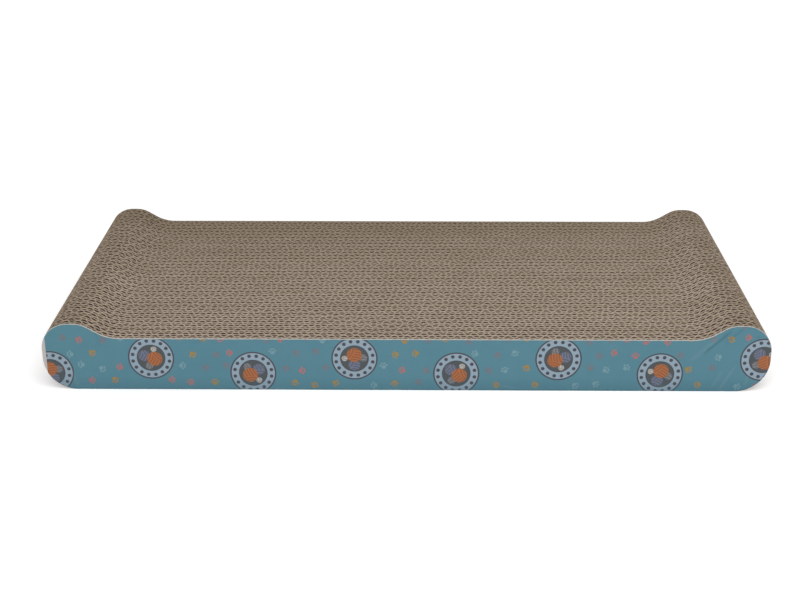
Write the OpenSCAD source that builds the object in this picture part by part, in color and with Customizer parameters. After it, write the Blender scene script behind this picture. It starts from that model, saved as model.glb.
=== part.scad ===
// Cardboard cat scratcher: die-cut corrugated boards glued side by side, with a
// printed cover sheet on each long face.
// X runs along the boards, Y goes from the front cover to the back one, Z is up.
// The origin is the middle of the base. All lengths are in millimetres.

/* [Block] */
// Length from end to end
block_len = 450; // [300:1:700]
// Height of the raised, rounded ends
end_h = 44; // [42:0.5:60]
// Height of the flat scratching surface between the ends
flat_h = 34.5; // [25:0.5:37]
// Number of boards glued side by side
board_n = 35; // [10:1:50]

/* [Rounded ends] */
// Radius of the lower corners
base_r = 21; // [5:0.5:26]
// Radius of the crest, on its outer and on its inner side
crest_r = 17; // [8:0.5:22]
// Level stretch on top of the crest
crest_flat = 3.5; // [0:0.5:20]
// Slope of the ramp from the crest down to the flat, in degrees
ramp_angle = 31; // [20:1:37]
// Radius of the hollow curve where the ramp meets the flat
valley_r = 26; // [10:1:45]

/* [Corrugated board] */
// Thickness of each of the three flat papers of a board
liner_t = 0.25; // [0.15:0.05:0.5]
// Depth of the layer with the large flutes, between its flat papers
large_flute_h = 3.35; // [2:0.05:5]
// Length of one large flute, from crest to crest
large_flute_pitch = 7.8; // [5:0.1:12]
// Thickness of the fluted paper
medium_t = 0.3; // [0.15:0.05:0.6]
// Depth of the layer with the small flutes, which is solid here
small_flute_h = 2.2; // [1:0.05:4]

/* [Cover sheets] */
// Thickness of a printed cover sheet
cover_t = 0.5; // [0.2:0.1:2]
// How far the straight end of a cover stops short of the block's end
cover_short = 2.5; // [0.5:0.5:10]

/* [Hidden] */
$fn = 128;
// How far a cutting shape runs past what it cuts
overrun = 1;
// Board k starts its flutes k * k times this share of a pitch along, which puts each row
// of flutes out of step with its neighbours, by a different amount every time
flute_shift_share = 0.618;

half_len = block_len / 2;
board_t = 3 * liner_t + large_flute_h + small_flute_h;
boards_w = board_n * board_t;
block_w = boards_w + 2 * cover_t;

// Centres of the corner and crest arcs, at the right-hand end
base_x = half_len - base_r;
outer_x = half_len - crest_r;
inner_x = outer_x - crest_flat;
crest_z = end_h - crest_r;
// Where the crest arc runs into the ramp
ramp_top = [inner_x - crest_r * sin(ramp_angle), crest_z + crest_r * cos(ramp_angle)];
// Where the ramp runs into the hollow curve
ramp_foot_z = flat_h + valley_r * (1 - cos(ramp_angle));
ramp_foot = [ramp_top.x - (ramp_top.y - ramp_foot_z) / tan(ramp_angle), ramp_foot_z];
// Where the hollow curve runs into the flat
flat_end_x = ramp_foot.x - valley_r * sin(ramp_angle);

function board_name(k) = str("board_", k < 10 ? "0" : "", k);
function flipped(points) = [for (i = [len(points) - 1 : -1 : 0]) [-points[i].x, points[i].y]];

// Outline of a board seen from the front, with straight lines in place of its arcs
end_points = [
    [base_x, 0],
    [base_x, base_r],
    [half_len, base_r],
    [half_len, crest_z],
    [outer_x, crest_z],
    [outer_x, end_h],
    [inner_x, end_h],
    [inner_x, crest_z],
    ramp_top,
    ramp_foot,
    [flat_end_x, flat_h]
];

// A quarter of a disc, with its corner at the origin
module quarter(r, x_side, z_side) {
    intersection() {
        circle(r);
        translate([x_side < 0 ? -r : 0, z_side < 0 ? -r : 0])
            square(r);
    }
}

// The full outline that every board and cover is cut to
module outline() {
    difference() {
        union() {
            polygon(concat(end_points, flipped(end_points)));
            for (side = [-1, 1]) {
                translate([side * base_x, base_r])
                    quarter(base_r, side, -1);
                translate([side * outer_x, crest_z])
                    quarter(crest_r, side, 1);
                translate([side * inner_x, crest_z])
                    quarter(crest_r, -side, 1);
            }
        }
        for (side = [-1, 1])
            translate([side * flat_end_x, flat_h + valley_r])
                circle(valley_r);
    }
}

// A sheet of the given thickness, standing on its edge with its front face at y = 0
module standing(thickness) {
    translate([0, thickness, 0])
        rotate([90, 0, 0])
            linear_extrude(thickness)
                children();
}

// Cells between the folds of one fluted paper, seen from above. The layer lies from
// y = 0 to y = depth, and cells open to its two sides in turn.
module flute_cells(depth, pitch, shift) {
    half_cell = pitch / 2 - medium_t;
    cell_depth = depth - medium_t;
    first = -ceil(half_len / pitch) - 1;
    places = [for (i = [first : -first]) (i + shift) * pitch];
    corners = [for (x = places) each [
        [x - half_cell, 0],
        [x + half_cell, 0],
        [x, cell_depth],
        [x + pitch / 2 - half_cell, depth],
        [x + pitch / 2 + half_cell, depth],
        [x + pitch / 2, depth - cell_depth]
    ]];
    polygon(corners, [for (i = [0 : 3 : len(corners) - 3]) [i, i + 1, i + 2]]);
}

// One corrugated board, from y = 0 to y = board_t, with its large flutes in front
module board_blank(shift) {
    intersection() {
        translate([0, 0, -overrun])
            linear_extrude(end_h + 2 * overrun)
                difference() {
                    translate([-half_len - overrun, 0])
                        square([block_len + 2 * overrun, board_t]);
                    translate([0, liner_t])
                        flute_cells(large_flute_h, large_flute_pitch, shift);
                }
        translate([0, -overrun, 0])
            standing(board_t + 2 * overrun)
                outline();
    }
}

// Board number k, counted from the front. The first one is glued in the other way
// round, so its large flutes lie next to those of the second.
module board(k) {
    turns = k * k * flute_shift_share;
    shift = turns - floor(turns);
    color([0.64, 0.56, 0.46])
        translate([0, -boards_w / 2 + (k - 1) * board_t, 0])
            if (k == 1)
                translate([0, board_t, 0])
                    mirror([0, 1, 0])
                        board_blank(shift);
            else
                board_blank(shift);
}

// A cover sheet with its straight end on the left, its front face at y = 0
module cover_sheet() {
    standing(cover_t)
        difference() {
            outline();
            translate([-half_len - overrun, -overrun])
                square([cover_short + overrun, end_h + 2 * overrun]);
        }
}

module front_cover() {
    color([0.36, 0.53, 0.58])
        translate([0, -block_w / 2, 0])
            cover_sheet();
}

module back_cover() {
    color([0.36, 0.53, 0.58])
        translate([0, block_w / 2, 0])
            rotate([0, 0, 180])
                cover_sheet();
}

front_cover();
for (k = [1 : board_n])
    board(k);
back_cover();
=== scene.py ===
"""A cardboard cat scratcher: corrugated boards glued side by side on edge, with a printed
cover sheet on each long side. Metres; X runs along the boards, Y to the back, Z up."""
import math
import bpy
import numpy as np
from mathutils import Euler, Matrix, Vector


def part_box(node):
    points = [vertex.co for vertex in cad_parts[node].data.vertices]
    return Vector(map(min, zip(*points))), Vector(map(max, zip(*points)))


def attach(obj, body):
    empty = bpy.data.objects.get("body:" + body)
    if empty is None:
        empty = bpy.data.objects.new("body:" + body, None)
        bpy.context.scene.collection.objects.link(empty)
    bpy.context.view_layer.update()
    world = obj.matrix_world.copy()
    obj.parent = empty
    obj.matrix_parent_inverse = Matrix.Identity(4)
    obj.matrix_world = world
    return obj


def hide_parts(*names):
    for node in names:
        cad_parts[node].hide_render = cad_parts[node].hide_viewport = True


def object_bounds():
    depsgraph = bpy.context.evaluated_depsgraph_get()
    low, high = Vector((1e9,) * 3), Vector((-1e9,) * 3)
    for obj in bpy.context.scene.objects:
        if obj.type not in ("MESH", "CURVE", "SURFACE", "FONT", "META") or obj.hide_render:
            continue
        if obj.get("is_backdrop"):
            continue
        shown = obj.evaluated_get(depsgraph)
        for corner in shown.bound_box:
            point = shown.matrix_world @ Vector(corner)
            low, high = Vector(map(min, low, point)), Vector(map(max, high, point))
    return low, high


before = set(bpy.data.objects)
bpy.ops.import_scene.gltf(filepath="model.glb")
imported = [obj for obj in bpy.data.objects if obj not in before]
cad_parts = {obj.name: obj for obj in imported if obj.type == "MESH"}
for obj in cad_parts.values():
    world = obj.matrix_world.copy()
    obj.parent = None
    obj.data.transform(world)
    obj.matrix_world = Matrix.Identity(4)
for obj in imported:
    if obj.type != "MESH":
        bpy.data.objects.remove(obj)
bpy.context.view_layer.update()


# Camera
# It stands a little under a metre from the block, at the height of someone sitting on the
# floor, and looks down on it along its short side with a short telephoto lens.
lens_mm = 64.8
sensor_mm = 36.0
camera_place = (0.00764, -0.92042, 0.39212)
camera_down = math.radians(22.26)
camera_turn = math.radians(0.772)
camera_roll = math.radians(-0.118)

camera_data = bpy.data.cameras.new("camera")
camera_data.lens = lens_mm
camera_data.sensor_width = sensor_mm
camera = bpy.data.objects.new("camera", camera_data)
aim = Euler((math.pi / 2 - camera_down, 0, camera_turn)).to_matrix()
camera.matrix_world = (
    Matrix.Translation(camera_place) @ (aim @ Matrix.Rotation(camera_roll, 3, "Z")).to_4x4()
)
bpy.context.scene.collection.objects.link(camera)
bpy.context.scene.camera = camera


# Boards
# Each is a strip of brown double-wall corrugated board, die-cut to one outline and stood on
# edge. Three flat papers hold a paper of large waves and one of small waves between them,
# glued together at the mill, and white glue holds each strip to the next.
board_names = sorted(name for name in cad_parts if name.startswith("board_"))
board_boxes = {name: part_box(name) for name in board_names}
first_high = board_boxes[board_names[0]][1]
last_high = board_boxes[board_names[-1]][1]
half_len = first_high.x
end_h = first_high.z
half_depth = last_high.y

# The die-cut outline: its heights and radii, and the places where its arcs meet.
flat_h = 0.0345
base_r = 0.021
crest_r = 0.017
crest_flat = 0.0035
ramp_angle = math.radians(31)
valley_r = 0.026
base_x = half_len - base_r
outer_x = half_len - crest_r
inner_x = outer_x - crest_flat
crest_z = end_h - crest_r
ramp_top_x = inner_x - crest_r * math.sin(ramp_angle)
ramp_top_z = crest_z + crest_r * math.cos(ramp_angle)
ramp_foot_z = flat_h + valley_r * (1 - math.cos(ramp_angle))
ramp_foot_x = ramp_top_x - (ramp_top_z - ramp_foot_z) / math.tan(ramp_angle)
flat_end_x = ramp_foot_x - valley_r * math.sin(ramp_angle)

# The papers and layers of a board, and the waves in them.
flat_paper_t = 0.00025
large_wave_t = 0.0004
small_wave_t = 0.00036
crush_spread = 0.00016
steepness = 1.3
large_layer = 0.00335
large_pitch = 0.0078
small_pitch = 0.0065
wave_start_share = 0.618
large_step = large_pitch / 18
small_step = small_pitch / 14
flat_step = 0.003
crest_angles = np.radians(np.arange(42, 90, 6))
sharp_edge = math.radians(50)

# The uneven cut edges with their pale fringe, how soon the painted shade inside the flutes begins
# past it, and how far rows and waves stray.
cut_depth = 0.0001
cut_lengths = (0.0031, 0.0083, 0.027)
cut_lean = 0.00005
lean_lengths = (0.0043, 0.011, 0.038)
# The paper is painted darker as shade inside the flutes, past its pale fringe and a share of its
# distance in from each end. Where the fringe share is larger, the painted shade begins sooner: most
# on the crests and in the small flutes, least on the right ramp.
end_depth_share = 0.3
fringe_places = (-inner_x, -ramp_top_x, -flat_end_x, 0, flat_end_x, ramp_top_x, inner_x)
fringe_shares = (1.3, 0.9, 1.0, 1.0, 0.92, 0.85, 1.3)
small_fringe_share = 1.6
row_sway = 0.0003
sway_waves = (
    # share of the sway, wavelengths along x and along y, and the turn it starts at
    (0.6, 0.21, 0.19, 0.13),
    (0.4, 0.083, -0.11, 0.41),
)
wave_drift_share = 0.035
drift_lengths = (0.061, 0.143, 0.31)
sheet_tones = (-0.3, 0.3)


def arc_height(radius, away):
    """Height of a circle above its centre, at a level distance away from the centre: the
    root of the radius squared less the distance squared."""
    return np.sqrt(np.maximum(radius**2 - away**2, 0))


def top_height(x):
    """Upper outline at each x. From the middle to each end it is level, then a hollow arc,
    a straight ramp, the inner arc of the crest, its level top and its outer arc."""
    a = np.abs(x)
    stretches = [
        a <= flat_end_x,
        a <= ramp_foot_x,
        a <= ramp_top_x,
        a <= inner_x,
        a <= outer_x,
    ]
    heights = [
        np.full_like(a, flat_h),
        flat_h + valley_r - arc_height(valley_r, a - flat_end_x),
        ramp_foot_z + (a - ramp_foot_x) * math.tan(ramp_angle),
        crest_z + arc_height(crest_r, inner_x - a),
        np.full_like(a, end_h),
    ]
    return np.select(stretches, heights, crest_z + arc_height(crest_r, a - outer_x))


def base_height(x):
    """Lower outline at each x: zero along the base, then the arc of the lower corner."""
    a = np.abs(x)
    return np.where(a <= base_x, 0, base_r - arc_height(base_r, a - base_x))


def stations(step):
    """Places along the length: even steps of about the given size, with closer ones near
    the ends, at even angles round the outer arc of the crest."""
    even = np.linspace(-half_len, half_len, round(2 * half_len / step) + 1)
    turned = outer_x + crest_r * np.sin(crest_angles)
    return np.unique(np.round(np.concatenate([even, turned, -turned]), 5))


def waver(x, rng, lengths):
    """A smooth random line between -1 and 1: the mean of one sine for each wavelength, each
    started at a random angle."""
    turns = x[:, None] / np.array(lengths) + rng.uniform(0, 1, len(lengths))
    return np.sin(2 * np.pi * turns).mean(axis=1)


def sway(x, y):
    """How far a row is pushed out of line at each place: the row sway times two long sines
    along x that turn slowly with y, faded to nothing at the front and back faces."""
    fade = 1 - (y / half_depth) ** 4
    pushed = sum(
        share * np.sin(2 * np.pi * (x / along + y / across + start))
        for share, along, across, start in sway_waves
    )
    return row_sway * fade * pushed


def standing_paper(x, y, thickness, fringe_share, rng):
    """Corners and faces of one paper that stands on edge along the line (x, y) seen from
    above. The corners are the line plus or minus half the thickness along its normal, at
    the lower outline and at the upper one. The upper ones spread wider, where the cutting
    die crushed the paper, and are cut down and leant over by small random amounts. Faces
    run front, cut edge, back, base, then the two ends. With each corner go its distances
    down from the upper outline and up from the lower one, both times the fringe share, and
    a share of its distance in from the end."""
    slope = np.gradient(y, x)
    stretch = np.sqrt(1 + slope**2)
    cut = cut_depth * (0.5 + 0.5 * waver(x, rng, cut_lengths))
    lean = cut_lean * waver(x, rng, lean_lengths)
    ring, from_cuts = [], []
    for side, upper in ((-1, False), (-1, True), (1, True), (1, False)):
        aside = side * (thickness / 2 + (crush_spread if upper else 0))
        px = np.clip(x - aside * slope / stretch, -half_len, half_len)
        py = y + aside / stretch
        pz = top_height(px) - cut if upper else base_height(px)
        py = np.clip(py + (lean if upper else 0), -half_depth, half_depth)
        ring.append(np.stack([px, py + sway(px, py), pz], axis=1))
        # the fringe share sets how soon the painted shade inside the flutes begins
        share = fringe_share * np.interp(px, fringe_places, fringe_shares)
        tall = share * (top_height(px) - base_height(px))
        none = np.zeros_like(tall)
        from_end = end_depth_share * (half_len - np.abs(px))
        down, up = (none, tall) if upper else (tall, none)
        from_cuts.append(np.stack([down, up, from_end], axis=1))
    corners = np.stack(ring, axis=1).reshape(-1, 3)
    from_cuts = np.stack(from_cuts, axis=1).reshape(-1, 3)
    start = 4 * np.arange(len(x) - 1)[:, None]
    here = np.arange(4)
    after = (here + 1) % 4
    sides = np.stack([start + here, start + 4 + here, start + 4 + after, start + after], axis=-1)
    last = 4 * (len(x) - 1)
    ends = np.array([[0, 1, 2, 3], [last + 3, last + 2, last + 1, last]])
    return corners, np.concatenate([sides.reshape(-1, 4), ends]), from_cuts


def mesh_of_quads(name, corners, faces, slots):
    """A mesh from corner places, four-cornered faces and the material slot of each face,
    shaded smooth but for its sharp edges."""
    mesh = bpy.data.meshes.new(name)
    mesh.vertices.add(len(corners))
    mesh.vertices.foreach_set("co", corners.astype(np.float32).ravel())
    mesh.loops.add(faces.size)
    mesh.loops.foreach_set("vertex_index", faces.astype(np.int32).ravel())
    mesh.polygons.add(len(faces))
    mesh.polygons.foreach_set("loop_start", np.arange(0, faces.size, 4, dtype=np.int32))
    mesh.polygons.foreach_set("material_index", slots.astype(np.int32))
    mesh.polygons.foreach_set("use_smooth", np.ones(len(faces), dtype=bool))
    mesh.update(calc_edges=True)
    mesh.set_sharp_from_angle(angle=sharp_edge)
    return mesh


def board_sheets(number, low_y, high_y):
    """The five papers of a board, from the front: flat, large waves, flat, small waves,
    flat. The first board is turned round. A wave is a cosine across its layer, steepened
    by a hyperbolic tangent to straighter flanks, and its length drifts a little along the
    board. A paper is laid out by its line seen from above, its thickness and its fringe
    share, and each gets a random tone of its own."""
    rng = np.random.default_rng(number)
    facing = -1 if number == 1 else 1
    front = high_y if number == 1 else low_y
    thick = high_y - low_y
    small_layer = thick - large_layer - 3 * flat_paper_t
    large_shift = number**2 * wave_start_share % 1
    small_shift = rng.uniform()

    def flat_paper(depth, share):
        x = stations(flat_step)
        y = np.full_like(x, front + facing * (depth + flat_paper_t / 2))
        return x, y, flat_paper_t, share

    def wave_paper(depth, layer, pitch, shift, thickness, step, share):
        x = stations(step)
        turns = x / pitch - shift + wave_drift_share * waver(x, rng, drift_lengths)
        steep = np.tanh(steepness * np.cos(2 * np.pi * turns)) / math.tanh(steepness)
        swing = (layer - thickness) / 2 * steep
        return x, front + facing * (depth + layer / 2 + swing), thickness, share

    second = flat_paper_t + large_layer
    third = thick - flat_paper_t
    sheets = [
        flat_paper(0, 1),
        wave_paper(
            flat_paper_t, large_layer, large_pitch, large_shift, large_wave_t, large_step, 1
        ),
        flat_paper(second, 1),
        wave_paper(
            second + flat_paper_t, small_layer, small_pitch, small_shift, small_wave_t, small_step,
            small_fringe_share,
        ),
        flat_paper(third, small_fringe_share),
    ]
    return [(*standing_paper(*sheet, rng), rng.uniform(*sheet_tones)) for sheet in sheets]


def fill(tree, socket, value):
    """Gives a socket a plain value, or joins it to another node's output."""
    if isinstance(value, bpy.types.NodeSocket):
        tree.links.new(value, socket)
    else:
        socket.default_value = value


def put(tree, kind, outlet, **values):
    """A node of the given kind. Each value, named after one of its sockets with _ for a
    space, is a plain value or another node's output. Returns the named outlet."""
    node = tree.nodes.new(kind)
    for name, value in values.items():
        fill(tree, node.inputs[name.replace("_", " ")], value)
    return node.outputs[outlet]


def maths(tree, operation, *values):
    """A Math node on plain numbers or other nodes' outputs."""
    node = tree.nodes.new("ShaderNodeMath")
    node.operation = operation
    for socket, value in zip(node.inputs, values):
        fill(tree, socket, value)
    return node.outputs[0]


def mixed(tree, under, over, share, blend="MIX"):
    """A colour mix. Under and over are colours or outputs, share is a number or an output."""
    node = tree.nodes.new("ShaderNodeMix")
    node.data_type = "RGBA"
    node.blend_type = blend
    for socket, value in ((node.inputs[0], share), (node.inputs[6], under), (node.inputs[7], over)):
        fill(tree, socket, value)
    return node.outputs[2]


def graded(tree, value, start, end, first=0.0, last=1.0):
    """A value turned into another: first up to the start, last from the end on, and a
    straight line between them."""
    return put(
        tree, "ShaderNodeMapRange", "Result",
        Value=value, From_Min=start, From_Max=end, To_Min=first, To_Max=last,
    )


def parts(tree, vector):
    """The parts X, Y and Z of a vector."""
    split = tree.nodes.new("ShaderNodeSeparateXYZ")
    fill(tree, split.inputs[0], vector)
    return split.outputs


def attribute(tree, name, outlet="Fac"):
    """What the mesh holds at each corner under the given name."""
    node = tree.nodes.new("ShaderNodeAttribute")
    node.attribute_name = name
    return node.outputs[outlet]


def object_place(tree, scale=(1, 1, 1)):
    """Object coordinates, stretched by the given scale."""
    place = tree.nodes.new("ShaderNodeTexCoord").outputs["Object"]
    return put(tree, "ShaderNodeMapping", 0, Vector=place, Scale=scale)


def speckle(tree, scale, detail, roughness):
    """Random noise in space, finer the larger the scale is."""
    return put(
        tree, "ShaderNodeTexNoise", "Fac",
        Vector=object_place(tree, scale), Scale=1.0, Detail=detail, Roughness=roughness,
    )


def new_material(name):
    """An empty node material, with its tree and its Principled shader."""
    material = bpy.data.materials.new(name)
    material.use_nodes = True
    return material, material.node_tree, material.node_tree.nodes["Principled BSDF"]


# The paper's own look: short fibres that lie along the board, soft clouds in the pulp, and a tone
# that differs from sheet to sheet. The boards also add painted shade and light to the tone.
fibre_scale = (300, 1500, 1100)
cloud_scale = (34, 60, 34)
cloud_share = 0.5
tone_share = 0.45
dark_end = 0.25
pale_end = 1.05

paper_grain = bpy.data.node_groups.new("paper_grain", "ShaderNodeTree")
for name, kind, where in (
    ("Pale", "NodeSocketColor", "INPUT"),
    ("Dark", "NodeSocketColor", "INPUT"),
    ("Tone", "NodeSocketFloat", "INPUT"),
    ("Fibre share", "NodeSocketFloat", "INPUT"),
    ("Color", "NodeSocketColor", "OUTPUT"),
    ("Fibres", "NodeSocketFloat", "OUTPUT"),
):
    paper_grain.interface.new_socket(name, in_out=where, socket_type=kind)
grain_in = paper_grain.nodes.new("NodeGroupInput").outputs
grain_out = paper_grain.nodes.new("NodeGroupOutput").inputs
fibres = speckle(paper_grain, fibre_scale, 4.0, 0.7)
clouds = speckle(paper_grain, cloud_scale, 3.0, 0.6)
fibre_part = maths(paper_grain, "MULTIPLY_ADD", fibres, grain_in["Fibre share"], 0.0)
cloud_part = maths(paper_grain, "MULTIPLY_ADD", clouds, cloud_share, fibre_part)
tone_part = maths(paper_grain, "MULTIPLY_ADD", grain_in["Tone"], tone_share, cloud_part)
shade = graded(paper_grain, tone_part, dark_end, pale_end)
paper_colour = mixed(paper_grain, grain_in["Dark"], grain_in["Pale"], shade)
fill(paper_grain, grain_out["Color"], paper_colour)
fill(paper_grain, grain_out["Fibres"], fibres)

fibre_bump = 0.0001
bump_strength = 0.6
paper_shine = 0.25
# Past the pale fringe at a cut edge, the kraft is painted darker as shade inside the flutes.
fringe_start = 0.00036
fringe_end = 0.0007
fringe_ragged = 0.0002


def paper_material(name, pale, dark, fibre_share, roughness, cell_shade=None):
    """Bare paper: the grain between two colours, with a bump from its fibres. With a cell shade,
    the paper is darkened by it as painted shade inside the flutes, a little way in from its cut
    edges and its ends."""
    material, tree, shader = new_material(name)
    grain = tree.nodes.new("ShaderNodeGroup")
    grain.node_tree = paper_grain
    fill(tree, grain.inputs["Pale"], pale)
    fill(tree, grain.inputs["Dark"], dark)
    fill(tree, grain.inputs["Fibre share"], fibre_share)
    fill(tree, grain.inputs["Tone"], attribute(tree, "tone"))
    colour = grain.outputs["Color"]
    fibres = grain.outputs["Fibres"]
    if cell_shade:
        from_cuts = parts(tree, attribute(tree, "from_cuts", "Vector"))
        nearest = maths(tree, "MINIMUM", from_cuts["X"], from_cuts["Y"])
        nearest = maths(tree, "MINIMUM", nearest, from_cuts["Z"])
        ragged = maths(tree, "MULTIPLY_ADD", fibres, fringe_ragged, nearest)
        # painted shade inside the flutes, deeper than the pale fringe
        inside = graded(tree, ragged, fringe_start, fringe_end)
        colour = mixed(tree, colour, mixed(tree, colour, cell_shade, 1.0, "MULTIPLY"), inside)
    fill(tree, shader.inputs["Base Color"], colour)
    raised = put(
        tree, "ShaderNodeBump", "Normal",
        Height=fibres, Distance=fibre_bump, Strength=bump_strength,
    )
    fill(tree, shader.inputs["Normal"], raised)
    fill(tree, shader.inputs["Roughness"], roughness)
    fill(tree, shader.inputs["Specular IOR Level"], paper_shine)
    return material


kraft_pale = (0.545, 0.443, 0.349, 1)
kraft_dark = (0.32, 0.248, 0.173, 1)
cut_pale = (0.568, 0.462, 0.364, 1)
cut_dark = (0.34, 0.263, 0.182, 1)
outer_pale = (0.70, 0.685, 0.67, 1)
outer_dark = (0.54, 0.52, 0.505, 1)
# the colour that paints shade inside the flutes
painted_flute_shade = (0.195, 0.16, 0.222, 1)

kraft_face = paper_material(
    "kraft_paper", kraft_pale, kraft_dark, fibre_share=0.8, roughness=0.9, cell_shade=painted_flute_shade
)
cut_edge = paper_material("cut_paper_edge", cut_pale, cut_dark, fibre_share=0.8, roughness=0.95)
pale_face = paper_material(
    "pale_outer_paper", outer_pale, outer_dark, fibre_share=0.4, roughness=0.7
)

# Every sheet is painted darker and browner towards the back as shade, less so on the right. The
# crests are painted darker as shade, above all in front, and the ramps paler as painted light, but
# not in front.
back_shade = 1.15
right_shade_share = 0.65
front_ramp_tone = -0.12
ramp_tone = 0.15
ramp_front_share = 0.4
front_crest_tone = -0.55
crest_fading = 0.5

for number, name in enumerate(board_names, start=1):
    low, high = board_boxes[name]
    back_share = number / len(board_names)
    back_shaded = back_shade * back_share**4
    crest_tone = front_crest_tone + crest_fading * back_share
    slope_tone = np.interp(back_share, (0, ramp_front_share), (front_ramp_tone, ramp_tone))
    corner_parts, face_parts, slot_parts, tone_and_shade_parts, cut_parts = [], [], [], [], []
    first_corner = 0
    sheets = board_sheets(number, low.y, high.y)
    # the outer paper of the first and the last board is pale on the side under its cover
    outer_sheet = len(sheets) - 1 if number in (1, len(board_names)) else None
    outer_side = 2 if number == len(board_names) else 0
    for place, (corners, faces, from_cuts, tone) in enumerate(sheets):
        # flat faces and cut edges take turns round a paper, and both its ends are cut
        slots = np.tile([0, 1], len(faces) // 2)
        slots[-2:] = 1
        if place == outer_sheet:
            slots[outer_side:-2:4] = 2
        corner_parts.append(corners)
        face_parts.append(faces + first_corner)
        slot_parts.append(slots)
        # painted shade on the crests and painted light on the ramps
        crest_shade_ramp_light = np.interp(
            np.abs(corners[:, 0]),
            (flat_end_x, ramp_foot_x, ramp_top_x, inner_x),
            (0, slope_tone, slope_tone, crest_tone),
        )
        # painted shade towards the back, weaker on the right
        painted_back_shade = np.interp(corners[:, 0], (0, flat_end_x), (back_shaded, back_shaded * right_shade_share))
        tone_and_shade_parts.append(tone - painted_back_shade + crest_shade_ramp_light)
        cut_parts.append(from_cuts)
        first_corner += len(corners)
    piece = bpy.data.objects.new(
        f"{name}_papers",
        mesh_of_quads(
            f"{name}_papers",
            np.concatenate(corner_parts),
            np.concatenate(face_parts),
            np.concatenate(slot_parts),
        ),
    )
    # the tone holds each sheet's random tone with the painted shade and light added to it
    tone_and_shade_layer = piece.data.attributes.new("tone", "FLOAT", "POINT")
    tone_and_shade_layer.data.foreach_set("value", np.concatenate(tone_and_shade_parts).astype(np.float32))
    cuts = piece.data.attributes.new("from_cuts", "FLOAT_VECTOR", "POINT")
    cuts.data.foreach_set("vector", np.concatenate(cut_parts).astype(np.float32).ravel())
    for material in (kraft_face, cut_edge, pale_face):
        piece.data.materials.append(material)
    bpy.context.scene.collection.objects.link(piece)
    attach(piece, "root")
    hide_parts(name)


# Cover sheets
# A sheet of coated white paperboard, printed all over, is glued over the outer face of the
# first and the last board and cut with them. One end of each is a straight mill edge that
# stops a little short of the block's end.
cover_low, cover_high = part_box("front_cover")
cover_step = 0.001
cover_rows = 44
fold_depth = 0.00016
dent_share = 0.6
folds = (
    # from x, z to x, z, then the width, all in millimetres, and how strong: over 0 for a crease
    # that is pressed in and painted dark as shade, under 0 for a pale streak painted as a highlight
    (198.5, 39.5, 184.5, 26.5, 0.8, 1.0),
    (206.5, 42.0, 197.0, 33.5, 0.8, 0.55),
    (215.5, 37.5, 217.5, 33.0, 0.7, 0.4),
    (203.5, 17.0, 195.0, 1.5, 0.6, -0.6),
    (196.0, 14.0, 190.5, 3.0, 0.7, -0.35),
    (212.9, 13.0, 210.5, 4.5, 0.6, -0.5),
    (192.0, 36.0, 176.0, 21.0, 1.4, -0.4),
    (-213.8, 14.5, -213.4, 4.0, 0.6, 0.7),
    (-190.5, 40.5, -189.5, 30.0, 1.0, 0.3),
    (-209.0, 16.0, -204.5, 2.5, 0.6, -0.6),
    (155.0, 5.5, 163.0, 2.0, 0.5, -0.4),
    (60.0, 3.4, 69.0, 1.6, 0.5, -0.4),
    (-131.0, 31.5, -124.0, 33.8, 0.6, 0.35),
)
dents = (
    # x, z and radius in millimetres, and the depth as a share
    (205.0, 30.0, 9.0, 0.7),
    (-206.0, 24.0, 11.0, 0.6),
    (-96.0, 9.0, 7.0, 0.35),
    (38.0, 27.0, 8.0, 0.3),
    (128.0, 12.0, 10.0, 0.4),
)


def fold_marks(x, z):
    """How strongly the sheet is marked at each place, from -1 for a painted highlight on a pale
    streak to 1 for a crease painted dark as shade: for each fold a bell curve of the distance to
    its line, and nothing past the line's ends."""
    marks = np.zeros_like(x)
    for x0, z0, x1, z1, width, share in folds:
        x0, z0, x1, z1, width = (v / 1000 for v in (x0, z0, x1, z1, width))
        fold_len = math.hypot(x1 - x0, z1 - z0)
        along = ((x - x0) * (x1 - x0) + (z - z0) * (z1 - z0)) / fold_len**2
        across = ((x - x0) * (z1 - z0) - (z - z0) * (x1 - x0)) / fold_len
        fade = np.clip(4 * np.minimum(along, 1 - along) + 0.5, 0, 1)
        mark = share * fade * np.exp(-((across / width) ** 2))
        marks = np.where(np.abs(mark) > np.abs(marks), mark, marks)
    return marks


def soft_dents(x, z):
    """How far the sheet is pressed in at each place, from 0 to 1: a wide bell curve round
    the middle of each dent."""
    pressed = np.zeros_like(x)
    for x0, z0, radius, share in dents:
        away = ((x - x0 / 1000) ** 2 + (z - z0 / 1000) ** 2) / (radius / 1000) ** 2
        pressed = np.maximum(pressed, share * np.exp(-away))
    return pressed


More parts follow.
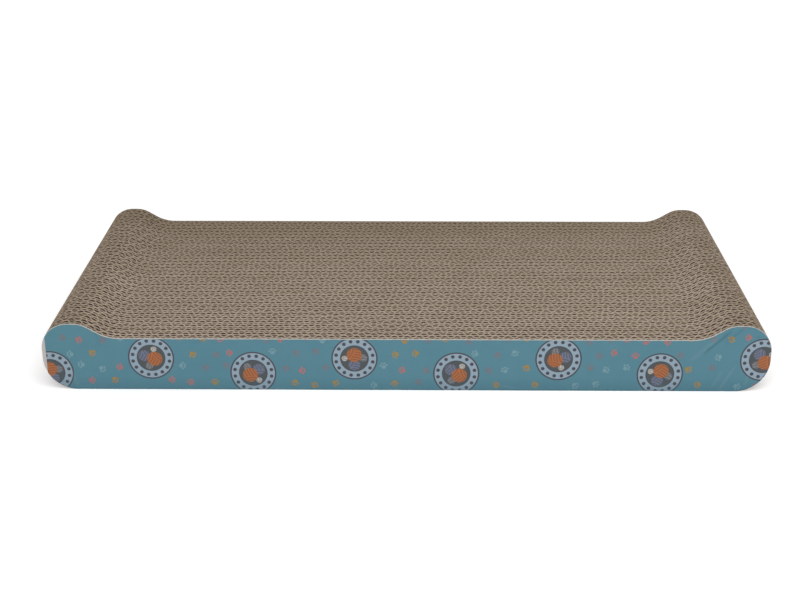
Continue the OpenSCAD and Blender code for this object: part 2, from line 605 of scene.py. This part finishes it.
def cover_sheet():
    """A cover in the front cover's place: a grid of places along the length and up between
    the lower and upper outline, once for the printed face, creased inwards, and once for
    the glued face, with rims between them. Its attributes are the distance in from the
    outline and the marks of its folds."""
    x = stations(cover_step)
    x = np.concatenate([[cover_low.x], x[x > cover_low.x + cover_step / 4]])
    up = np.linspace(0, 1, cover_rows)
    across = np.repeat(x[:, None], cover_rows, axis=1)
    foot, head = base_height(across), top_height(across)
    height = foot + (head - foot) * up
    marks = fold_marks(across, height)
    pressed = np.maximum(marks, 0) + dent_share * soft_dents(across, height)
    pressed = fold_depth * np.minimum(pressed, 1)
    printed = np.stack([across, cover_low.y + pressed, height], axis=-1)
    glued = np.stack([across, np.full_like(across, cover_high.y), height], axis=-1)
    corners = np.concatenate([printed.reshape(-1, 3), glued.reshape(-1, 3)])

    foot_slope = np.gradient(base_height(x), x)[:, None]
    head_slope = np.gradient(top_height(x), x)[:, None]
    inward = np.minimum((height - foot) / np.hypot(1, foot_slope), half_len - np.abs(across))
    inward = np.minimum(inward, (head - height) / np.hypot(1, head_slope))

    places = np.arange(across.size).reshape(across.shape)
    printed_faces = np.stack(
        [places[:-1, :-1], places[1:, :-1], places[1:, 1:], places[:-1, 1:]], axis=-1
    ).reshape(-1, 4)
    glued_faces = np.flip(printed_faces, axis=1) + across.size
    loop = np.concatenate([places[:, 0], places[-1, 1:], places[-2::-1, -1], places[0, -2:0:-1]])
    turn = np.roll(loop, -1)
    rim_faces = np.stack([loop, loop + across.size, turn + across.size, turn], axis=-1)
    faces = np.concatenate([printed_faces, glued_faces, rim_faces])
    slots = np.repeat([0, 1], [len(printed_faces), len(glued_faces) + len(rim_faces)])
    return corners, faces, slots, np.tile(inward.ravel(), 2), np.tile(marks.ravel(), 2)


# The print, in millimetres on the sheet: round badges in a row that steps up and down, and
# small paw marks scattered between them. Each ball is its place from the badge's middle and
# its radius. Threads and cap are placed in radii of their ball.
badge_pitch = 63.0
badge_high = 21.5
badge_low = 11.5
badge_r = 14.3
badge_line = 0.9
disc_r = 8.9
dot_ring_r = 11.5
dot_r = 1.15
dots_round = 16
badge_turn = 2.2
big_ball = (1.9, -1.3, 4.7)
middle_ball = (-3.4, 2.6, 3.7)
small_ball = (-2.9, -4.6, 2.4)
least_ball = (3.6, 4.9, 1.8)
thread = 1.7
thread_centres = ((-1.6, 1.2), (1.9, 0.9))
cap_place = (1.0, 0.6)
cap_r = 1.1
paw_cell = (12.5, 10.0)
paw_jitter = (5.0, 4.0)
paw_share = 0.88
paw_clear = 2.8
paw_pad = (0, -0.7)
paw_pad_r = 1.4
paw_pad_squash = 0.85
paw_toes = ((-1.9, 0.45), (-0.75, 1.7), (0.75, 1.7), (1.9, 0.45))
paw_toe_r = 0.66
print_soft = 0.22

teal = (0.082, 0.219, 0.280, 1)
teal_worn = (0.105, 0.25, 0.302, 1)
ring_blue = (0.285, 0.375, 0.45, 1)
charcoal = (0.055, 0.055, 0.07, 1)
disc_dark = (0.065, 0.075, 0.08, 1)
orange = (0.42, 0.15, 0.055, 1)
orange_shade = (0.27, 0.085, 0.03, 1)
slate = (0.16, 0.18, 0.25, 1)
slate_shade = (0.09, 0.10, 0.145, 1)
ball_grey = (0.23, 0.23, 0.24, 1)
ball_grey_shade = (0.12, 0.12, 0.13, 1)
cream = (0.52, 0.50, 0.47, 1)
cream_shade = (0.30, 0.28, 0.26, 1)
coral = (0.39, 0.155, 0.153, 1)
mustard = (0.345, 0.215, 0.053, 1)
mauve = (0.17, 0.17, 0.20, 1)
pale_blue = (0.17, 0.31, 0.36, 1)
paw_colours = ((0.0, coral), (0.22, pale_blue), (0.4, mustard), (0.57, mauve))


def within(tree, distance):
    """A mask that is 1 where a signed distance is below zero, with a soft edge."""
    return graded(tree, distance, -print_soft / 2, print_soft / 2, 1.0, 0.0)


def flat_point(tree, x, z):
    """A vector with x and z as its first two parts."""
    return put(tree, "ShaderNodeCombineXYZ", "Vector", X=x, Y=z)


def length(tree, vector):
    """How long a vector is."""
    node = tree.nodes.new("ShaderNodeVectorMath")
    node.operation = "LENGTH"
    fill(tree, node.inputs[0], vector)
    return node.outputs["Value"]


def gap(tree, point, centre, radius, squash=1.0):
    """Signed distance from a point to a circle round a centre, whose height can be pressed
    by the squash: the distance between the two less the radius."""
    shifted = put(
        tree, "ShaderNodeMapping", "Vector",
        Vector=point, Location=(-centre[0], -centre[1] / squash, 0), Scale=(1, 1 / squash, 1),
    )
    return maths(tree, "SUBTRACT", length(tree, shifted), radius)


def spun(tree, point, angle):
    """A point turned about the origin by an angle."""
    node = tree.nodes.new("ShaderNodeVectorRotate")
    node.rotation_type = "Z_AXIS"
    fill(tree, node.inputs["Vector"], point)
    fill(tree, node.inputs["Angle"], angle)
    return node.outputs[0]


def badge_place(tree, x, z):
    """The point (x, z) seen from the middle of the nearest badge, and that badge's number:
    x is cut into equal lengths, and every second badge sits higher."""
    number = maths(tree, "FLOOR", maths(tree, "DIVIDE", x, badge_pitch))
    middle = maths(tree, "MULTIPLY_ADD", number, badge_pitch, badge_pitch / 2)
    odd = maths(tree, "FLOORED_MODULO", number, 2.0)
    height = maths(tree, "MULTIPLY_ADD", odd, badge_high - badge_low, badge_low)
    across = maths(tree, "SUBTRACT", x, middle)
    up = maths(tree, "SUBTRACT", z, height)
    return flat_point(tree, across, up), number


def yarn_ball(tree, under, point, ball, pale, dark):
    """Paints a ball of yarn: a disc with curved threads, which are rings round two far
    points, the second ones only inside a circle that cuts the ball."""
    x0, z0, radius = ball
    disc = within(tree, gap(tree, point, (x0, z0), radius))
    rings = []
    for beside, above in thread_centres:
        centre = (x0 + beside * radius, z0 + above * radius)
        turns = maths(tree, "MULTIPLY", gap(tree, point, centre, 0.0), 2 * math.pi / thread)
        rings.append(maths(tree, "MULTIPLY_ADD", maths(tree, "SINE", turns), 0.5, 0.5))
    cap_middle = (x0 + cap_place[0] * radius, z0 + cap_place[1] * radius)
    cap = within(tree, gap(tree, point, cap_middle, cap_r * radius))
    threads = put(tree, "ShaderNodeMix", 0, Factor=cap, A=rings[0], B=rings[1])
    rim = within(tree, maths(tree, "ABSOLUTE", gap(tree, point, (x0, z0), radius)))
    wound = mixed(tree, dark, pale, threads)
    return mixed(tree, mixed(tree, under, wound, disc), dark, rim)


def badges(tree, under, x, z):
    """Paints the round badges: a charcoal line round a pale ring with dots, and a dark disc
    with four balls of yarn."""
    point, number = badge_place(tree, x, z)
    radius = length(tree, point)
    badge = within(tree, maths(tree, "SUBTRACT", radius, badge_r))
    ring = within(tree, maths(tree, "SUBTRACT", radius, badge_r - badge_line))
    colour = mixed(tree, mixed(tree, under, charcoal, badge), ring_blue, ring)
    shift = parts(tree, point)
    angle = maths(tree, "ARCTAN2", shift["Y"], shift["X"])
    turns = maths(tree, "MULTIPLY", angle, dots_round / (2 * math.pi))
    step = maths(tree, "SUBTRACT", maths(tree, "FRACT", maths(tree, "ADD", turns, dots_round)), 0.5)
    beside = maths(tree, "MULTIPLY", step, 2 * math.pi * dot_ring_r / dots_round)
    outward = maths(tree, "SUBTRACT", radius, dot_ring_r)
    dots = gap(tree, flat_point(tree, beside, outward), (0, 0), dot_r)
    colour = mixed(tree, colour, charcoal, within(tree, dots))
    rim = within(tree, maths(tree, "SUBTRACT", radius, disc_r))
    disc = within(tree, maths(tree, "SUBTRACT", radius, disc_r - badge_line / 2))
    colour = mixed(tree, mixed(tree, colour, charcoal, rim), disc_dark, disc)
    turned = spun(tree, point, maths(tree, "MULTIPLY", number, badge_turn))
    for ball, pale, dark in (
        (least_ball, cream, cream_shade),
        (small_ball, ball_grey, ball_grey_shade),
        (middle_ball, slate, slate_shade),
        (big_ball, orange, orange_shade),
    ):
        colour = yarn_ball(tree, colour, turned, ball, pale, dark)
    return colour


def paw_marks(tree, under, x, z):
    """Paints small paw marks: one in each cell of a staggered grid, moved, turned, coloured
    or left out by the cell's random numbers, and left out close to a badge."""
    row = maths(tree, "FLOOR", maths(tree, "DIVIDE", z, paw_cell[1]))
    stagger = maths(tree, "MULTIPLY_ADD", row, 0.5 * paw_cell[0], x)
    column = maths(tree, "FLOOR", maths(tree, "DIVIDE", stagger, paw_cell[0]))
    noise = tree.nodes.new("ShaderNodeTexWhiteNoise")
    noise.noise_dimensions = "2D"
    fill(tree, noise.inputs["Vector"], flat_point(tree, column, row))
    chance = noise.outputs["Value"]
    draws = tree.nodes.new("ShaderNodeSeparateColor")
    fill(tree, draws.inputs[0], noise.outputs["Color"])
    centre = []
    for cell, size, jitter, draw in (
        (column, paw_cell[0], paw_jitter[0], draws.outputs[0]),
        (row, paw_cell[1], paw_jitter[1], draws.outputs[1]),
    ):
        base = maths(tree, "MULTIPLY_ADD", cell, size, (size - jitter) / 2)
        centre.append(maths(tree, "MULTIPLY_ADD", draw, jitter, base))
    centre_x = maths(tree, "MULTIPLY_ADD", row, -0.5 * paw_cell[0], centre[0])
    local = flat_point(
        tree, maths(tree, "SUBTRACT", x, centre_x), maths(tree, "SUBTRACT", z, centre[1])
    )
    point = spun(tree, local, maths(tree, "MULTIPLY", draws.outputs[2], 2 * math.pi))
    mark = gap(tree, point, paw_pad, paw_pad_r, paw_pad_squash)
    for toe in paw_toes:
        mark = maths(tree, "MINIMUM", mark, gap(tree, point, toe, paw_toe_r))
    from_badge = badge_place(tree, centre_x, centre[1])[0]
    clear = maths(tree, "GREATER_THAN", length(tree, from_badge), badge_r + paw_clear)
    kept = maths(tree, "MULTIPLY", maths(tree, "LESS_THAN", chance, paw_share), clear)
    colours = tree.nodes.new("ShaderNodeValToRGB")
    colours.color_ramp.interpolation = "CONSTANT"
    stops = colours.color_ramp.elements
    for place, (position, colour) in enumerate(paw_colours):
        stop = stops[place] if place < len(stops) else stops.new(position)
        stop.position = position
        stop.color = colour
    fill(tree, colours.inputs[0], chance)
    mask = maths(tree, "MULTIPLY", within(tree, mark), kept)
    return mixed(tree, under, colours.outputs[0], mask)


# The print's wear, with painted shade along its outline, towards its base and in its creases, and
# painted highlights on pale streaks. Heights are in millimetres on the sheet and distances in from
# the outline in metres; a share says how strongly a colour covers the print.
print_scale = (1000, 1000, 1000)
mottle_scale = (60, 60, 60)
mottle_range = (0.3, 0.8)
mottle_share = 0.5
edge_scale = (420, 420, 420)
edge_ragged = 0.0011
edge_shade_range = (-0.0002, 0.0005)
edge_shade_share = 0.35
edge_shade_colour = (0.045, 0.085, 0.11, 1)
# painted shade: the print is darker towards the base of the sheet
base_shade_top = 9.0
base_shade_share = 0.3
base_shade_colour = (0.03, 0.10, 0.14, 1)
worn_ragged = 0.0004
worn_range = (0.0004, 0.0007)
worn_share = 0.85
worn_upper_range = (27.0, 31.0)
worn_patch_range = (0.56, 0.68)
worn_patch_share = 0.5
worn_white = (0.56, 0.57, 0.54, 1)
# painted shade in the creases and painted highlights on pale streaks
crease_shade_share = 0.5
crease_shade_colour = (0.025, 0.10, 0.14, 1)
highlight_share = 0.25
highlight_pale = (0.34, 0.42, 0.45, 1)
sheen_scale = (25, 25, 80)
sheen_range = (0.42, 0.58)
print_shine = 0.35
rib_wave = 0.314 / small_pitch
rib_bend = 0.6
rib_share = 0.25
print_bump = 0.00012
print_bump_strength = 0.5

printed_paper, tree, shader = new_material("printed_paper")
on_sheet = parts(tree, object_place(tree, print_scale))
mottle = speckle(tree, mottle_scale, 5.0, 0.65)
colour = mixed(tree, teal, teal_worn, graded(tree, mottle, *mottle_range, 0.0, mottle_share))
colour = paw_marks(tree, colour, on_sheet["X"], on_sheet["Z"])
colour = badges(tree, colour, on_sheet["X"], on_sheet["Z"])

inward = attribute(tree, "inward")
edge_noise = speckle(tree, edge_scale, 3.0, 0.6)
edge_reach = maths(tree, "MULTIPLY", edge_noise, edge_ragged)
past_reach = maths(tree, "SUBTRACT", inward, edge_reach)
# painted shade along the sheet's outline
colour = mixed(tree, colour, edge_shade_colour, graded(tree, past_reach, *edge_shade_range, edge_shade_share, 0.0))
# painted shade, darker towards the base of the sheet
base_shade = graded(tree, on_sheet["Z"], 0.0, base_shade_top, base_shade_share, 0.0)
colour = mixed(tree, colour, base_shade_colour, base_shade)

worn_reach = maths(tree, "MULTIPLY_ADD", edge_noise, worn_ragged, inward)
worn_edge = graded(tree, worn_reach, *worn_range, worn_share, 0.0)
worn_upper = graded(tree, on_sheet["Z"], *worn_upper_range)
worn_patches = graded(tree, mottle, *worn_patch_range, 0.0, worn_patch_share)
worn_places = maths(tree, "MAXIMUM", worn_upper, worn_patches)
colour = mixed(tree, colour, worn_white, maths(tree, "MULTIPLY", worn_edge, worn_places))

# painted shade along the creases, and painted highlights along pale streaks
fold_shade_and_highlight = attribute(tree, "fold_shade_and_highlight")
crease_shade_mask = maths(tree, "MULTIPLY", maths(tree, "MAXIMUM", fold_shade_and_highlight, 0.0), crease_shade_share)
colour = mixed(tree, colour, crease_shade_colour, crease_shade_mask)
highlighted = maths(tree, "MAXIMUM", maths(tree, "MULTIPLY", fold_shade_and_highlight, -highlight_share), 0.0)
colour = mixed(tree, colour, highlight_pale, highlighted)
fill(tree, shader.inputs["Base Color"], colour)

sheen = graded(tree, speckle(tree, sheen_scale, 4.0, 0.6), 0.0, 1.0, *sheen_range)
fill(tree, shader.inputs["Roughness"], sheen)
fill(tree, shader.inputs["Specular IOR Level"], print_shine)
ribs = tree.nodes.new("ShaderNodeTexWave")
ribs.bands_direction = "X"
fill(tree, ribs.inputs["Scale"], rib_wave)
fill(tree, ribs.inputs["Distortion"], rib_bend)
fill(tree, ribs.inputs["Vector"], object_place(tree))
surface = maths(tree, "MULTIPLY_ADD", ribs.outputs["Fac"], rib_share, mottle)
raised = put(
    tree, "ShaderNodeBump", "Normal",
    Height=surface, Distance=print_bump, Strength=print_bump_strength,
)
fill(tree, shader.inputs["Normal"], raised)

core_scale = (900, 900, 900)
core_pale = (0.72, 0.70, 0.65, 1)
core_dark = (0.30, 0.28, 0.25, 1)
core_roughness = 0.9

board_edge, tree, shader = new_material("cover_board_edge")
core_noise = speckle(tree, core_scale, 3.0, 0.7)
fill(tree, shader.inputs["Base Color"], mixed(tree, core_pale, core_dark, core_noise))
fill(tree, shader.inputs["Roughness"], core_roughness)

corners, faces, slots, inward_by, fold_shade_and_highlight_by = cover_sheet()
for name, facing in (("front_cover", 1), ("back_cover", -1)):
    mesh = mesh_of_quads(f"{name}_sheet", corners * (facing, facing, 1), faces, slots)
    for label, values in (("inward", inward_by), ("fold_shade_and_highlight", fold_shade_and_highlight_by)):
        stored = mesh.attributes.new(label, "FLOAT", "POINT")
        stored.data.foreach_set("value", values.astype(np.float32))
    mesh.materials.append(printed_paper)
    mesh.materials.append(board_edge)
    piece = bpy.data.objects.new(f"{name}_sheet", mesh)
    bpy.context.scene.collection.objects.link(piece)
    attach(piece, "root")
    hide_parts(name)


# Floor, lights and background
# A plain white floor under an even white sky. A square key lamp hangs above in front, a
# little to the right, and two weak sun lamps fill in from the front and from behind. The
# floor glows a little, but not under the block, and the camera sees it and the sky as white.
floor_r = 8.0
floor_drop = 0.0001
floor_sides = 96
dim_margin = 0.002
sky_strength = 0.44
key_place = (0.12, -0.62, 0.85)
key_size = 0.8
key_watts = 4.6
sun_strength = 0.5
sun_spread = math.radians(70)
fill_turns = (math.radians(64), 0, math.radians(-18))
back_turns = (math.radians(-68), 0, math.radians(-12))
white = (1, 1, 1, 1)
floor_grey = (0.80, 0.80, 0.80, 1)
glow_reach = (0.2, 1.2)
glow_range = (0.3, 0.6)


def seen_as_backdrop(tree):
    """A mask that is 1 for the rays that show a background: the camera's own, and those
    through clear things and off shiny ones."""
    path = tree.nodes.new("ShaderNodeLightPath").outputs
    straight = maths(tree, "MAXIMUM", path["Is Camera Ray"], path["Is Transmission Ray"])
    return maths(tree, "MAXIMUM", straight, path["Is Glossy Ray"])


around = np.linspace(0, 2 * np.pi, floor_sides, endpoint=False)
floor_rim = np.stack(
    [floor_r * np.cos(around), floor_r * np.sin(around), np.full_like(around, -floor_drop)], axis=1
)
floor_mesh = bpy.data.meshes.new("floor")
floor_mesh.from_pydata(floor_rim.tolist(), [], [list(range(floor_sides))])
floor = bpy.data.objects.new("floor", floor_mesh)
bpy.context.scene.collection.objects.link(floor)
floor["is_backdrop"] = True

floor_material, tree, shader = new_material("white_floor")
seen = seen_as_backdrop(tree)
fill(tree, shader.inputs["Base Color"], mixed(tree, floor_grey, white, seen))
fill(tree, shader.inputs["Roughness"], 1.0)
fill(tree, shader.inputs["Specular IOR Level"], 0.0)
floor_place = object_place(tree)
glow = graded(tree, length(tree, floor_place), *glow_reach, *glow_range)
on_floor = parts(tree, floor_place)
past_end = maths(tree, "SUBTRACT", maths(tree, "ABSOLUTE", on_floor["X"]), base_x)
past_face = maths(tree, "ABSOLUTE", on_floor["Y"])
past_face = maths(tree, "SUBTRACT", past_face, half_depth - dim_margin)
uncovered = graded(tree, maths(tree, "MAXIMUM", past_end, past_face), -dim_margin, 0.0)
glow = maths(tree, "MULTIPLY", glow, uncovered)
fill(tree, shader.inputs["Emission Color"], white)
fill(tree, shader.inputs["Emission Strength"], maths(tree, "MULTIPLY", seen, glow))
floor_mesh.materials.append(floor_material)

world = bpy.data.worlds.new("white_sky")
world.use_nodes = True
bpy.context.scene.world = world
tree = world.node_tree
sky = tree.nodes["Background"].inputs
fill(tree, sky["Color"], white)
fill(tree, sky["Strength"], graded(tree, seen_as_backdrop(tree), 0.0, 1.0, sky_strength, 1.0))

key_data = bpy.data.lights.new("key_lamp", "AREA")
key_data.energy = key_watts
key_data.size = key_size
key_lamp = bpy.data.objects.new("key_lamp", key_data)
key_lamp.location = key_place
key_lamp.rotation_euler = Vector(key_place).to_track_quat("Z", "Y").to_euler()
bpy.context.scene.collection.objects.link(key_lamp)

for name, turns in (("fill_lamp", fill_turns), ("back_lamp", back_turns)):
    lamp_data = bpy.data.lights.new(name, "SUN")
    lamp_data.energy = sun_strength
    lamp_data.angle = sun_spread
    lamp = bpy.data.objects.new(name, lamp_data)
    lamp.rotation_euler = turns
    bpy.context.scene.collection.objects.link(lamp)

bpy.context.scene.view_settings.view_transform = "Standard"


# Sizes
# The finished object's box, lowest and highest corners.
low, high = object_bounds()
